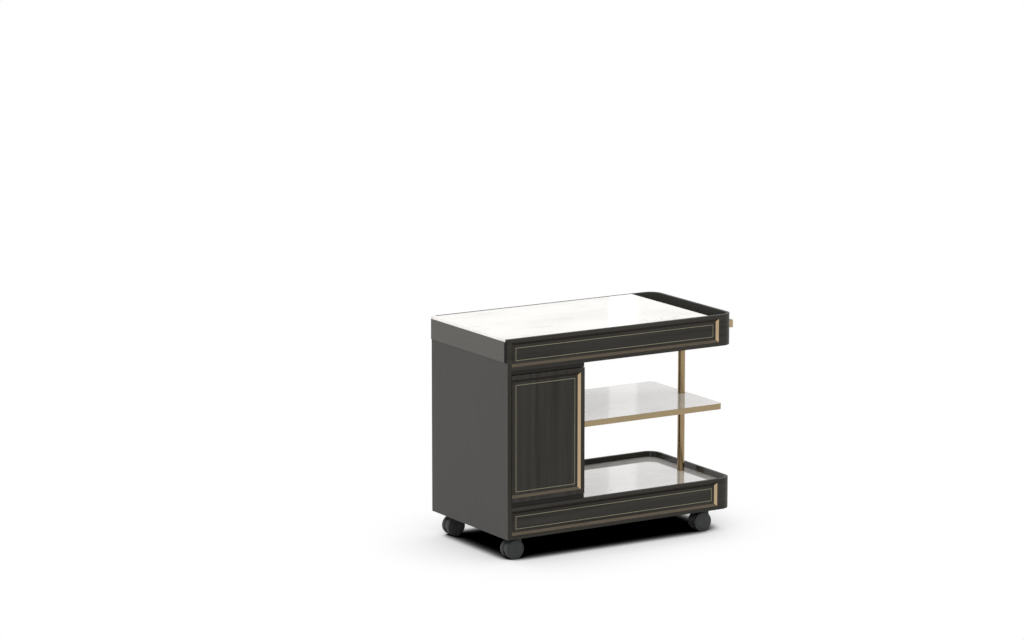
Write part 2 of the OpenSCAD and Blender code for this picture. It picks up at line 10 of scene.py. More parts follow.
import bmesh
import bpy
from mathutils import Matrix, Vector

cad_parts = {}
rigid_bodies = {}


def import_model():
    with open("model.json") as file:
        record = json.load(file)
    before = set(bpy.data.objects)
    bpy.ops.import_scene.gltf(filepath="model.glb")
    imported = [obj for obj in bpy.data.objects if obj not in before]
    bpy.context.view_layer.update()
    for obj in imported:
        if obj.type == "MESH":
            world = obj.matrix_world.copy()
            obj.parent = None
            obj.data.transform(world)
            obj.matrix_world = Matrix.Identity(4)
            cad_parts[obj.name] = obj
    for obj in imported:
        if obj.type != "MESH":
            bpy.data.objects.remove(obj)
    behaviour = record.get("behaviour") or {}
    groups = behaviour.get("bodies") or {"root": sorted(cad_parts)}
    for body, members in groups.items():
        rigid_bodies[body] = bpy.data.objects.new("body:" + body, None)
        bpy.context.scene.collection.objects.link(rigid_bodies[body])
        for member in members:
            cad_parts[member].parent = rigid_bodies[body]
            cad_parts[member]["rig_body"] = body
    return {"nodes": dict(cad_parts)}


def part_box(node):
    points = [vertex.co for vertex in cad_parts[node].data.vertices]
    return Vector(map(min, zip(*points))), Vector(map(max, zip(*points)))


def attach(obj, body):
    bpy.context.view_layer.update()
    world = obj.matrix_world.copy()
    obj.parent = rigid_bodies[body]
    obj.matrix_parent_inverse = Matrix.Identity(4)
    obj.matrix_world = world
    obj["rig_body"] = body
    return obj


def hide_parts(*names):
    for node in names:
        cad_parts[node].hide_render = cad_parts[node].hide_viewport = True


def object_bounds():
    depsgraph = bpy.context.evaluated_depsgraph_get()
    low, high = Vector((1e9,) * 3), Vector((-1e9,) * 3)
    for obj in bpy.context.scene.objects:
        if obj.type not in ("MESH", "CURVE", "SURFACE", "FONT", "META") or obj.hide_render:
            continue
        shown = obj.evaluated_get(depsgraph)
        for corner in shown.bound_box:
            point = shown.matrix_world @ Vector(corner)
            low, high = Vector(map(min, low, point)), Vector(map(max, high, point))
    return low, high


MM = 0.001
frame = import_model()
cad_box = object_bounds()

# Camera, fitted to the photograph's straight edges ------------------------------------------

CAMERA_AT = Vector((-8.0828, -12.6844, 3.7002))
CAMERA_TILT = math.radians(79.174)
CAMERA_TURN = math.radians(-31.395)
CAMERA_LENS = 141.40
SENSOR_WIDTH = 36.0


def make_camera():
    data = bpy.data.cameras.new("camera")
    data.lens = CAMERA_LENS
    data.sensor_width = SENSOR_WIDTH
    data.sensor_fit = "HORIZONTAL"
    camera = bpy.data.objects.new("camera", data)
    camera.location = CAMERA_AT
    camera.rotation_euler = (CAMERA_TILT, 0, CAMERA_TURN)
    bpy.context.scene.collection.objects.link(camera)
    bpy.context.scene.camera = camera


# Shader building ----------------------------------------------------------------------------

# The Mix node's sockets for colours: the two that go in, and the one that comes out
FIRST_COLOR, SECOND_COLOR, MIXED_COLOR = 6, 7, 2
# The levels between which most of a noise lies
NOISE_LOW, NOISE_HIGH = 0.3, 0.7


def scaled(color, share):
    return tuple(part * share for part in color)


class Shader:
    """A material with one Principled shader, and short calls for the nodes that drive it."""

    def __init__(self, name, **sockets):
        self.material = bpy.data.materials.new(name)
        self.material.use_nodes = True
        self.tree = self.material.node_tree
        self.bsdf = self.tree.nodes["Principled BSDF"]
        for key, value in sockets.items():
            self.bsdf.inputs[key.replace("_", " ")].default_value = value

    def node(self, kind, **settings):
        made = self.tree.nodes.new(kind)
        for key, value in settings.items():
            setattr(made, key, value)
        return made

    def link(self, output, target):
        self.tree.links.new(output, target)

    def drive(self, socket, output):
        self.link(output, self.bsdf.inputs[socket])

    def coords(self, scale, wrapped=False):
        """Object coordinates, or the wrapped ones along a tray's outline, times scale."""
        if wrapped:
            source = self.node("ShaderNodeUVMap", uv_map="grain").outputs["UV"]
        else:
            source = self.node("ShaderNodeTexCoord").outputs["Object"]
        mapping = self.node("ShaderNodeMapping")
        mapping.inputs["Scale"].default_value = scale
        self.link(source, mapping.inputs["Vector"])
        return mapping.outputs["Vector"]

    def noise(self, coords, scale=1.0, detail=3.0, roughness=0.5, distortion=0.0):
        made = self.node("ShaderNodeTexNoise")
        made.inputs["Scale"].default_value = scale
        made.inputs["Detail"].default_value = detail
        made.inputs["Roughness"].default_value = roughness
        made.inputs["Distortion"].default_value = distortion
        self.link(coords, made.inputs["Vector"])
        return made.outputs["Fac"]

    def even_noise(self, per_metre, **settings):
        """Noise of the same grain in all directions."""
        return self.noise(self.coords((per_metre, per_metre, per_metre)), **settings)

    def calc(self, operation, first, second=0.0):
        made = self.node("ShaderNodeMath", operation=operation)
        for value, socket in zip((first, second), made.inputs):
            if isinstance(value, (int, float)):
                socket.default_value = value
            else:
                self.link(value, socket)
        return made.outputs[0]

    def spread(self, value, low, high, to_low, to_high):
        """value moved from the range low..high to to_low..to_high, and held there."""
        made = self.node("ShaderNodeMapRange")
        self.link(value, made.inputs["Value"])
        for key, number in zip(
            ("From Min", "From Max", "To Min", "To Max"), (low, high, to_low, to_high)
        ):
            made.inputs[key].default_value = number
        return made.outputs["Result"]

    def ramp(self, value, stops):
        """A grey for the value, straight between the stops' pairs of value and level."""
        made = self.node("ShaderNodeValToRGB")
        points = made.color_ramp.elements
        points[0].position, points[1].position = stops[0][0], stops[-1][0]
        for place, level in stops[1:-1]:
            points.new(place)
        for point, (place, level) in zip(points, stops):
            point.color = (level, level, level, 1.0)
        self.link(value, made.inputs["Fac"])
        return made.outputs["Color"]

    def blend(self, factor, first, second):
        """Between two colours, each a triple or an output."""
        made = self.node("ShaderNodeMix", data_type="RGBA")
        self.link(factor, made.inputs["Factor"])
        for value, index in ((first, FIRST_COLOR), (second, SECOND_COLOR)):
            if isinstance(value, tuple):
                made.inputs[index].default_value = (*value, 1.0)
            else:
                self.link(value, made.inputs[index])
        return made.outputs[MIXED_COLOR]

    def mixed(self, first, first_share, second, second_share):
        """Two values added, each times its share."""
        return self.calc(
            "ADD",
            self.calc("MULTIPLY", first, first_share),
            self.calc("MULTIPLY", second, second_share),
        )

    def vary_roughness(self, noise, at_low, at_high):
        self.drive("Roughness", self.spread(noise, NOISE_LOW, NOISE_HIGH, at_low, at_high))

    def bump(self, height, strength, depth):
        made = self.node("ShaderNodeBump")
        made.inputs["Strength"].default_value = strength
        made.inputs["Distance"].default_value = depth
        self.link(height, made.inputs["Height"])
        self.drive("Normal", made.outputs["Normal"])


# Materials ----------------------------------------------------------------------------------

# The handle and small parts, a darker brass for the shelf's edge, a darker still for the column,
# and the inlays
BRASS = (0.40, 0.300, 0.178)
TRIM_BRASS = (0.345, 0.265, 0.155)
COLUMN_BRASS = (0.310, 0.225, 0.121)
INLAY_BRASS = (0.34, 0.315, 0.220)
# The mouldings, in lit and shaded copies of one brass by the way each slope faces, as painted
# light
# and shade: lit towards the cabinet's end, dimmed upwards, darker towards the handle, near black
# downwards
LIT_MOULDING_BRASS = (0.475, 0.352, 0.214)
DIMMED_MOULDING_BRASS = (0.44, 0.365, 0.270)
SIDE_SHADED_BRASS = (0.150, 0.112, 0.072)
SHADED_BRASS = (0.024, 0.019, 0.015)
# How much darker and paler the brass's mottle is, and how much paler scuffed plastic is
MOTTLE_DEEPER, MOTTLE_PALER = 0.88, 1.12
SCUFFS_PALER = 1.35

# Per metre across and along the grain: streaks, pores and brushing
STREAKS_ACROSS, STREAKS_ALONG = 46.0, 1.3
PORES_ACROSS, PORES_ALONG = 520.0, 11.0
BRUSHING_ACROSS, BRUSHING_ALONG = 1900.0, 26.0
# Per metre in all directions
MOTTLES, SCUFFS, SPANGLES, PLASTIC_TEXTURE = 22.0, 60.0, 310.0, 900.0
# What streaks and pores count for in the wood's tone, and how far that strays from its middle
STREAKS_SHARE, PORES_SHARE = 0.72, 0.28
TONE_REACH = 0.17

PALE_STONE, CLOUDY_STONE = (0.785, 0.760, 0.722), (0.695, 0.664, 0.620)
BROAD_VEINS, FINE_VEINS = (0.44, 0.402, 0.364), (0.29, 0.247, 0.204)
BROAD_STRENGTH, FINE_STRENGTH = 0.50, 0.85
VEINS_TURNED = math.radians(28.0)
VEINS_STRETCHED = 2.1

STEEL_DARK, STEEL_LIGHT = (0.45, 0.45, 0.46), (0.62, 0.62, 0.63)
PLY_DARK, PLY_LIGHT = (0.23, 0.165, 0.10), (0.40, 0.31, 0.20)


def grain_scale(across, along, direction):
    """Noise scale for a grain that runs along x, y or z, or along wrapped coordinates."""
    if direction == "wrapped":
        return (along, across, across)
    return tuple(along if axis == direction else across for axis in "xyz")


def make_wood(name, dark, light, direction, contrast, roughness, gloss):
    """Lacquered wood between two tones, with broad streaks and fine pores along the grain."""
    shader = Shader(name, Specular_IOR_Level=gloss)
    wrapped = direction == "wrapped"
    broad = shader.noise(
        shader.coords(grain_scale(STREAKS_ACROSS, STREAKS_ALONG, direction), wrapped),
        detail=4.0, distortion=0.35,
    )
    pores = shader.noise(
        shader.coords(grain_scale(PORES_ACROSS, PORES_ALONG, direction), wrapped),
        detail=2.0, roughness=0.6,
    )
    mixed = shader.mixed(broad, STREAKS_SHARE, pores, PORES_SHARE)
    half = TONE_REACH / contrast
    tone = shader.spread(mixed, 0.5 - half, 0.5 + half, 0.0, 1.0)
    shader.drive("Base Color", shader.blend(tone, dark, light))
    shader.vary_roughness(pores, roughness + 0.07, roughness - 0.05)
    shader.bump(pores, 0.16, 0.15 * MM)
    return shader.material


def make_brass(name, direction, color, roughness, brushing):
    """Satin brass, brushed along direction, with a slight mottle in its tone."""
    shader = Shader(name, Metallic=1.0)
    brushed = shader.noise(
        shader.coords(grain_scale(BRUSHING_ACROSS, BRUSHING_ALONG, direction)),
        detail=2.0, roughness=0.55,
    )
    mottle = shader.even_noise(MOTTLES)
    deeper, paler = scaled(color, MOTTLE_DEEPER), scaled(color, MOTTLE_PALER)
    shader.drive("Base Color", shader.blend(mottle, deeper, paler))
    shader.vary_roughness(brushed, roughness - 0.03, roughness + 0.04)
    shader.bump(brushed, brushing, 0.03 * MM)
    return shader.material


def make_marble(name, offset, painted_light_scale):
    """Polished pale stone with soft warm grey veins; offset keeps slabs from repeating, and the
    last argument makes a slab paler or darker as painted light and shade.
    """
    shader = Shader(
        name, Roughness=0.045, Specular_IOR_Level=0.9,
        Coat_Weight=0.7, Coat_Roughness=0.07, Coat_IOR=1.5,
    )
    turned = shader.node("ShaderNodeMapping")
    turned.inputs["Rotation"].default_value = (0.0, 0.0, VEINS_TURNED)
    turned.inputs["Location"].default_value = offset
    turned.inputs["Scale"].default_value = (1.0, VEINS_STRETCHED, 1.0)
    shader.link(
        shader.node("ShaderNodeTexCoord").outputs["Object"], turned.inputs["Vector"]
    )
    spot = turned.outputs["Vector"]

    def vein(scale, width, distortion):
        """1 on the line where the noise crosses its middle, falling off over width."""
        value = shader.noise(spot, scale, detail=5.0, roughness=0.55, distortion=distortion)
        away = shader.calc("ABSOLUTE", shader.calc("SUBTRACT", value, 0.5))
        return shader.spread(away, 0.0, width, 1.0, 0.0)

    patches = shader.spread(shader.noise(spot, scale=2.3, detail=2.0), 0.47, 0.64, 0.0, 1.0)
    broad = shader.calc("MULTIPLY", vein(scale=2.6, width=0.045, distortion=0.9), patches)
    fine = shader.calc("MULTIPLY", vein(scale=5.2, width=0.013, distortion=1.4), patches)
    cloud = shader.spread(shader.noise(spot, scale=3.1, detail=4.0), 0.40, 0.68, 0.0, 1.0)
    # The stone's tones scaled per slab, paler as painted light on the top slab and darker as
    # painted shade on the base
    stone = shader.blend(cloud, scaled(PALE_STONE, painted_light_scale), scaled(CLOUDY_STONE, painted_light_scale))
    stone = shader.blend(shader.calc("MULTIPLY", broad, BROAD_STRENGTH), stone, BROAD_VEINS)
    stone = shader.blend(shader.calc("MULTIPLY", fine, FINE_STRENGTH), stone, FINE_VEINS)
    shader.drive("Base Color", stone)
    return shader.material


def make_plastic(name, base, roughness):
    """Moulded plastic with a fine texture, a little paler where it is scuffed."""
    shader = Shader(name, Specular_IOR_Level=0.32)
    texture = shader.even_noise(PLASTIC_TEXTURE, detail=2.0)
    scuffs = shader.even_noise(SCUFFS, detail=5.0, distortion=0.8)
    scuffed = shader.spread(scuffs, 0.45, 0.75, 0.0, 1.0)
    shader.drive("Base Color", shader.blend(scuffed, base, scaled(base, SCUFFS_PALER)))
    shader.vary_roughness(scuffs, roughness - 0.05, roughness + 0.08)
    shader.bump(texture, 0.20, 0.05 * MM)
    return shader.material


def make_steel(name):
    """Zinc plated steel, faintly spangled."""
    shader = Shader(name, Metallic=1.0)
    spangle = shader.even_noise(SPANGLES, detail=2.0)
    shader.drive("Base Color", shader.blend(spangle, STEEL_DARK, STEEL_LIGHT))
    shader.vary_roughness(spangle, 0.28, 0.42)
    return shader.material


def make_plywood(name):
    """Raw plywood: plies show as bands in height."""
    shader = Shader(name, Specular_IOR_Level=0.25)
    plies = shader.noise(shader.coords((9.0, 9.0, 620.0)), detail=1.0)
    fibre = shader.noise(shader.coords((6.0, 260.0, 260.0)), detail=3.0)
    tone = shader.spread(shader.mixed(plies, 0.6, fibre, 0.4), 0.35, 0.65, 0.0, 1.0)
    shader.drive("Base Color", shader.blend(tone, PLY_DARK, PLY_LIGHT))
    shader.vary_roughness(fibre, 0.62, 0.78)
    shader.bump(fibre, 0.15, 0.1 * MM)
    return shader.material


GREY = (0.055, 0.053, 0.049), (0.066, 0.064, 0.059)
BAND = (0.096, 0.093, 0.086), (0.110, 0.106, 0.098)
WOOD = (0.017, 0.0155, 0.0125), (0.037, 0.0340, 0.0280)
# The field's border inside the mouldings, a darker copy of the wood: painted shade of the recess
SHADED_BORDER = (0.011, 0.0100, 0.0078), (0.022, 0.0200, 0.0160)
BOARD = (0.010, 0.0092, 0.0076), (0.017, 0.0157, 0.0132)
# The well's boards, paler than the tray's wood to match the rim's inward faces: painted light
WELL_LIGHTENED = (0.036, 0.0337, 0.0300), (0.060, 0.0565, 0.0505)
# The fascias' ends towards the cabinet: end grain's own darker tone, darkened further as painted
# shade
END_GRAIN_SHADED = (0.005, 0.0048, 0.0042), (0.011, 0.0105, 0.0092)

# Dark and light tone, direction of the grain, contrast, roughness and gloss
WOODS = {
    "grey_panel": (*GREY, "z", 0.28, 0.46, 0.15),
    "grey_band": (*BAND, "y", 0.35, 0.46, 0.15),
    "wood_door": (*WOOD, "z", 1.0, 0.38, 0.15),
    "wood_tray": (*WOOD, "wrapped", 1.0, 0.38, 0.15),
    "wood_polished": (*WOOD, "wrapped", 1.0, 0.14, 0.6),
    "border_door": (*SHADED_BORDER, "z", 1.0, 0.38, 0.05),
    "border_tray": (*SHADED_BORDER, "wrapped", 1.0, 0.38, 0.05),
    "end_grain": (*END_GRAIN_SHADED, "x", 0.8, 0.6, 0.08),
    "board_x": (*BOARD, "x", 0.7, 0.5, 0.15),
    "board_y": (*BOARD, "y", 0.7, 0.5, 0.15),
    "well_board": (*WELL_LIGHTENED, "y", 0.7, 0.5, 0.15),
}
# Direction of the brushing, colour, roughness and depth of the brushing
BRASSES = {
    "brass_y": ("y", BRASS, 0.26, 0.10),
    "brass_z": ("z", BRASS, 0.26, 0.10),
    "shelf_trim": ("x", TRIM_BRASS, 0.26, 0.10),
    "column": ("z", COLUMN_BRASS, 0.22, 0.0),
    # The mouldings' lit brass, then its dimmed, darker and near-black copies as painted shade
    "moulding_x": ("x", LIT_MOULDING_BRASS, 0.13, 0.03),
    "moulding_z": ("z", LIT_MOULDING_BRASS, 0.13, 0.03),
    "moulding_sill": ("x", DIMMED_MOULDING_BRASS, 0.16, 0.03),
    "moulding_bronze": ("z", SIDE_SHADED_BRASS, 0.16, 0.03),
    "moulding_shade": ("x", SHADED_BRASS, 0.24, 0.05),
    "inlay_x": ("x", INLAY_BRASS, 0.30, 0.05),
    "inlay_z": ("z", INLAY_BRASS, 0.30, 0.05),
}
# Place in the veins' pattern, and how much paler or darker the stone is: painted light on the
# top slab, painted shade on the base
MARBLES = {
    "marble_top": ((0.35, 0.10, 0.0), 1.13),
    "marble_shelf": ((1.70, 0.60, 0.4), 1.0),
    "marble_base": ((3.10, 1.90, 0.8), 0.94),
}
# Colour and roughness
PLASTICS = {
    "housing": ((0.021, 0.022, 0.023), 0.36),
    "wheel": ((0.027, 0.028, 0.029), 0.44),
    "latch": ((0.022, 0.022, 0.023), 0.45),
}

MATERIALS = {
    name: make(name, *looks)
    for make, table in (
        (make_wood, WOODS), (make_brass, BRASSES), (make_marble, MARBLES),
        (make_plastic, PLASTICS), (make_steel, {"steel": ()}), (make_plywood, {"plywood": ()}),
    )
    for name, looks in table.items()
}

# Pieces -------------------------------------------------------------------------------------

WELD = 1e-6
FLAT_ANGLE = math.radians(0.5)
SHARP_ANGLE = math.radians(35.0)
# How much of a face's normal points along an axis: the least for a face square to it, nearly so,
# turned towards it and sloping, and the most for a face beside it
SQUARE, NEARLY, HALFWAY, SLOPING, BESIDE = 0.99, 0.9, 0.5, 0.3, 0.1


def new_piece(name, verts, faces):
    mesh = bpy.data.meshes.new(name)
    mesh.from_pydata(verts, [], faces)
    mesh.validate()
    piece = bpy.data.objects.new(name, mesh)
    bpy.context.scene.collection.objects.link(piece)
    mesh.polygons.foreach_set("use_smooth", [True] * len(mesh.polygons))
    mesh.set_sharp_from_angle(angle=SHARP_ANGLE)
    return piece


def stand_for(piece, node, material):
    """Puts the piece in the node's place: its body and its finish."""
    piece.data.materials.append(MATERIALS[material])
    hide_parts(node)
    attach(piece, frame["nodes"][node]["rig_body"])
    return piece


def whole_faces(node):
    """The node's corners and faces, with its triangles joined into whole flat faces."""
    form = bmesh.new()
    form.from_mesh(frame["nodes"][node].data)
    bmesh.ops.remove_doubles(form, verts=form.verts, dist=WELD)
    bmesh.ops.dissolve_limit(
        form, angle_limit=FLAT_ANGLE, verts=form.verts, edges=form.edges
    )
    form.verts.index_update()
    verts = [v.co.copy() for v in form.verts]
    faces = [[v.index for v in f.verts] for f in form.faces]
    form.free()
    return verts, faces


def soften(node, material, width, segments=2):
    """The node with its edges rounded by width, as a sanded or cast edge is."""
    piece = new_piece(node + "_finished", *whole_faces(node))
    rounding = piece.modifiers.new("edges", "BEVEL")
    rounding.width = width
    rounding.segments = segments
    rounding.limit_method = "ANGLE"
    rounding.angle_limit = SHARP_ANGLE
    rounding.harden_normals = True
    return stand_for(piece, node, material)


def finish_faces(piece, material, chosen):
    """Gives the piece's faces that chosen picks, by their corners and normal, a finish."""
    mesh = piece.data
    mesh.materials.append(MATERIALS[material])
    place = len(mesh.materials) - 1
    for face in mesh.polygons:
        if chosen([mesh.vertices[i].co for i in face.vertices], face.normal):
            face.material_index = place


# How far beyond the trolley's middle a face lies at least, to count as one that looks inward
LEAST_INWARD = 0.1


def faces_inward(corners, normal):
    """Picks the upright faces that look towards the trolley's middle."""
    middle = sum(corners, Vector()) / len(corners)
    return abs(normal.z) < BESIDE and middle.x * normal.x + middle.y * normal.y < -LEAST_INWARD


def faces_inward_at_end(corners, normal):
    """Picks the inside of the rim at the handle's end, which mirrors the marble."""
    return normal.x < -HALFWAY and faces_inward(corners, normal)


def lies_flat_or_faces_down(corners, normal):
    """Picks a moulding's lip and its downward slope, which get a near-black copy of the brass as
    painted shade.
    """
    return abs(normal.y) > SQUARE or normal.z < -SLOPING


def border_of(inlay, moulding):
    """Picks the field's faces between a moulding and the inlay inside it."""
    low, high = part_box(inlay)
    least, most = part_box(moulding)
    slack = 0.2 * MM

    def chosen(corners, normal):
        if abs(normal.y) < SQUARE:
            return False
        xs, zs = [c.x for c in corners], [c.z for c in corners]
        within = (
            min(xs) > least.x + slack and max(xs) < most.x - slack
            and min(zs) > least.z + slack and max(zs) < most.z - slack
        )
        inside = (
            min(xs) > low.x + slack and max(xs) < high.x - slack
            and min(zs) > low.z + slack and max(zs) < high.z - slack
        )
        return within and not inside

    return chosen


def tray_outline(x, y, end, side, radius):
    """Length along a tray's outer outline, from its front left corner round to its back left
    one, and depth inside it, of a point seen from above."""
    near = side - abs(y)
    past = x - (end - radius)
    inside = radius - near
    middle = end - radius + radius * math.pi / 2 + side - radius
    if past <= 0:
        along, depth = x, near
    elif inside <= 0:
        along, depth = middle - abs(y), end - x
    else:
        turn = math.atan2(past, inside)
        along, depth = end - radius + radius * turn, radius - math.hypot(past, inside)
    return (along if y < 0 else 2 * middle - along), depth


def wrap_grain(piece, corner):
    """Wrapped coordinates, so that the grain follows the boards round the corners."""
    high = Vector(piece.bound_box[6])
    layer = piece.data.uv_layers.new(name="grain")
    for loop in piece.data.loops:
        point = piece.data.vertices[loop.vertex_index].co
        along, depth = tray_outline(point.x, point.y, high.x, high.y, corner)
        layer.data[loop.index].uv = (along, point.z + depth)


def turned(name, profile, centre, axis, steps, radius_at=None):
    """A closed piece turned about axis through centre. profile is (radius, along) pairs from
    one end of the axis to the other. radius_at may change a pair's radius by the angle."""
    axis = Vector(axis).normalized()
    side = axis.orthogonal().normalized()
    up = axis.cross(side)
    verts, rings = [], []
    for index, (radius, along) in enumerate(profile):
        ring = []
        for step in range(steps if radius > 0 else 1):
            angle = 2 * math.pi * step / steps
            size = radius_at(index, radius, angle) if radius_at else radius
            ring.append(len(verts))
            verts.append(
                centre + axis * along + (side * math.cos(angle) + up * math.sin(angle)) * size
            )
        rings.append(ring)
    faces = []
    for first, second in zip(rings, rings[1:]):
        for step in range(steps):
            after = (step + 1) % steps
            a, b = first[step % len(first)], first[after % len(first)]
            c, d = second[after % len(second)], second[step % len(second)]
            corners = [a, b, c, d]
            faces.append([v for i, v in enumerate(corners) if v not in corners[:i]])
    return new_piece(name, verts, faces)


def middle(node):
    low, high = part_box(node)
    return (low + high) / 2


# Wheels, turned with a crowned tread, a sunk ring and a cap: radius and place along the axis,
# from the face beside the housing to the outer face, in millimetres
WHEEL_PROFILE = [
    (0, 11.5), (4.05, 11.5), (4.05, 0.0), (9.0, 0.0), (9.6, 0.5), (10.2, 1.6), (29.6, 1.6),
    (30.6, 0.6), (31.6, 0.0), (34.6, 0.0), (36.3, 0.5), (37.2, 1.6), (37.45, 3.2), (37.5, 9.2),
    (37.35, 9.35), (37.35, 9.65), (37.5, 9.8), (37.45, 15.8), (37.2, 17.4), (36.3, 18.5),
    (34.6, 19.0), (32.9, 19.0), (32.35, 18.75), (32.15, 18.1), (30.7, 18.1), (30.5, 18.75),
    (30.0, 18.98), (18.0, 19.0), (8.6, 19.0), (8.2, 18.8), (8.0, 18.4), (0, 18.4),
]
ROUND_STEPS = 96


def make_wheel(node):
    low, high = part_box(node)
    housing = middle(node.replace("wheel", "caster_housing").rsplit("_", 1)[0])
    centre = (low + high) / 2
    outward = 1.0 if centre.y > housing.y else -1.0
    centre.y = low.y if outward > 0 else high.y
    profile = [(radius * MM, along * MM) for radius, along in WHEEL_PROFILE]
    piece = turned(node + "_turned", profile, centre, (0, outward, 0), ROUND_STEPS)
    stand_for(piece, node, "wheel")


COLUMN_WALL, COLUMN_EDGE = 2 * MM, 0.4 * MM


def make_column():
    low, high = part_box("column_tube")
    radius = (high.x - low.x) / 2
    foot = Vector((*middle("column_tube").xy, low.z))
    height = high.z - low.z
    bore, rim = radius - COLUMN_WALL, radius - COLUMN_EDGE
    profile = [
        (bore, height), (rim, height), (radius, height - COLUMN_EDGE),
        (radius, COLUMN_EDGE), (rim, 0), (bore, 0), (bore, height),
    ]
    piece = turned("column_turned", profile, foot, (0, 0, 1), ROUND_STEPS)
    stand_for(piece, "column_tube", "column")


def loose_middles(node):
    """The middle of each separate solid in a node."""
    form = bmesh.new()
    form.from_mesh(frame["nodes"][node].data)
    bmesh.ops.remove_doubles(form, verts=form.verts, dist=WELD)
    left, middles = set(form.verts), []
    while left:
        group, edge = set(), [left.pop()]
        while edge:
            vert = edge.pop()
            group.add(vert)
            for other in (e.other_vert(vert) for e in vert.link_edges):
                if other in left:
                    left.discard(other)
                    edge.append(other)
        spots = [v.co for v in group]
        low = Vector(map(min, *spots))
        high = Vector(map(max, *spots))
        middles.append((low + high) / 2)
    form.free()
    return sorted(middles, key=lambda m: (round(m.x, 4), round(m.y, 4)))


# Screws with a hex socket: (radius, along) from the tip to the socket's floor, in millimetres
SCREW_PROFILE = [
    (0, 18.5), (1.2, 18.5), (2.5, 15.6), (2.5, 2.5), (4.5, 2.5), (4.5, 1.0), (4.1, 0.35),
    (3.5, 0.0), (1.75, 0.0), (1.75, 1.5), (0, 1.5),
]
SOCKET_ROWS = (8, 9)
SCREW_STEPS = 24
SIXTH = math.pi / 3


def hex_socket(index, radius, angle):
    if index not in SOCKET_ROWS:
        return radius
    return radius * math.cos(SIXTH / 2) / math.cos(angle % SIXTH - SIXTH / 2)


def make_caster_screws():
    """One piece for all the screws, each turned where its solid stands."""
    verts, faces = [], []
    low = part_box("caster_screws")[0]
    profile = [(radius * MM, along * MM) for radius, along in SCREW_PROFILE]
    for spot in loose_middles("caster_screws"):
        foot = Vector((*spot.xy, low.z))
        one = turned("screw", profile, foot, (0, 0, 1), SCREW_STEPS, hex_socket)
        start = len(verts)
        verts += [v.co.copy() for v in one.data.vertices]
        faces += [[start + i for i in p.vertices] for p in one.data.polygons]
        bpy.data.objects.remove(one)
    stand_for(new_piece("caster_screws_turned", verts, faces), "caster_screws", "steel")


# The outer radius of the trays' round corners
TRAY_CORNER = 52 * MM
# How far edges are rounded
FINE, SANDED, CAST, ROUNDED = 0.15 * MM, 0.7 * MM, 0.8 * MM, 1.6 * MM

CORNERS = ("front_left", "front_right", "back_left", "back_right")

# Node, finish, how far its edges are rounded, and in how many steps
SOFTENED = [
    ("end_band", "grey_band", SANDED, 2),
    ("cabinet_side_right", "grey_panel", SANDED, 2),
    ("cabinet_top_board", "board_x", SANDED, 2),
    ("cabinet_floor_board", "board_x", SANDED, 2),
    ("cabinet_plinth", "board_x", FINE, 1),
    ("cabinet_shelf", "board_x", SANDED, 2),
    ("base_bottom_board", "board_x", SANDED, 1),
    ("top_underside_board", "board_x", SANDED, 1),
    ("well_divider", "well_board", SANDED, 2),
    ("well_lining", "well_board", FINE, 1),
    ("shelf_core", "board_x", SANDED, 2),
    ("shelf_cleat", "board_y", SANDED, 2),
    ("top_marble", "marble_top", SANDED, 2),
    ("shelf_marble", "marble_shelf", FINE * 2, 2),
    ("bottom_marble", "marble_base", SANDED, 2),
    ("shelf_edge_trim", "shelf_trim", FINE * 2, 2),
    ("shelf_collar", "brass_z", FINE * 3, 2),
    ("handle_bar", "brass_y", ROUNDED, 3),
    ("caster_plates", "steel", FINE * 3, 2),
    ("latch_housing", "latch", SANDED, 2),
]

# Nodes shown as they are, with the finish of each
KEPT = {
    "top_inlays": "inlay_x", "bottom_inlays": "inlay_x", "back_panel_inlay": "inlay_z",
    "door_inlay": "inlay_z", "shelf_pins": "brass_y", "pivot_bushes": "brass_z",
    "door_pivots": "steel", "handle_screws": "steel", "column_tie_rod": "steel",
    "latch_plunger": "steel", "tray_ribs": "plywood", "top_deck": "plywood",
    "base_deck": "plywood", **{"caster_axle_" + corner: "steel" for corner in CORNERS},
}


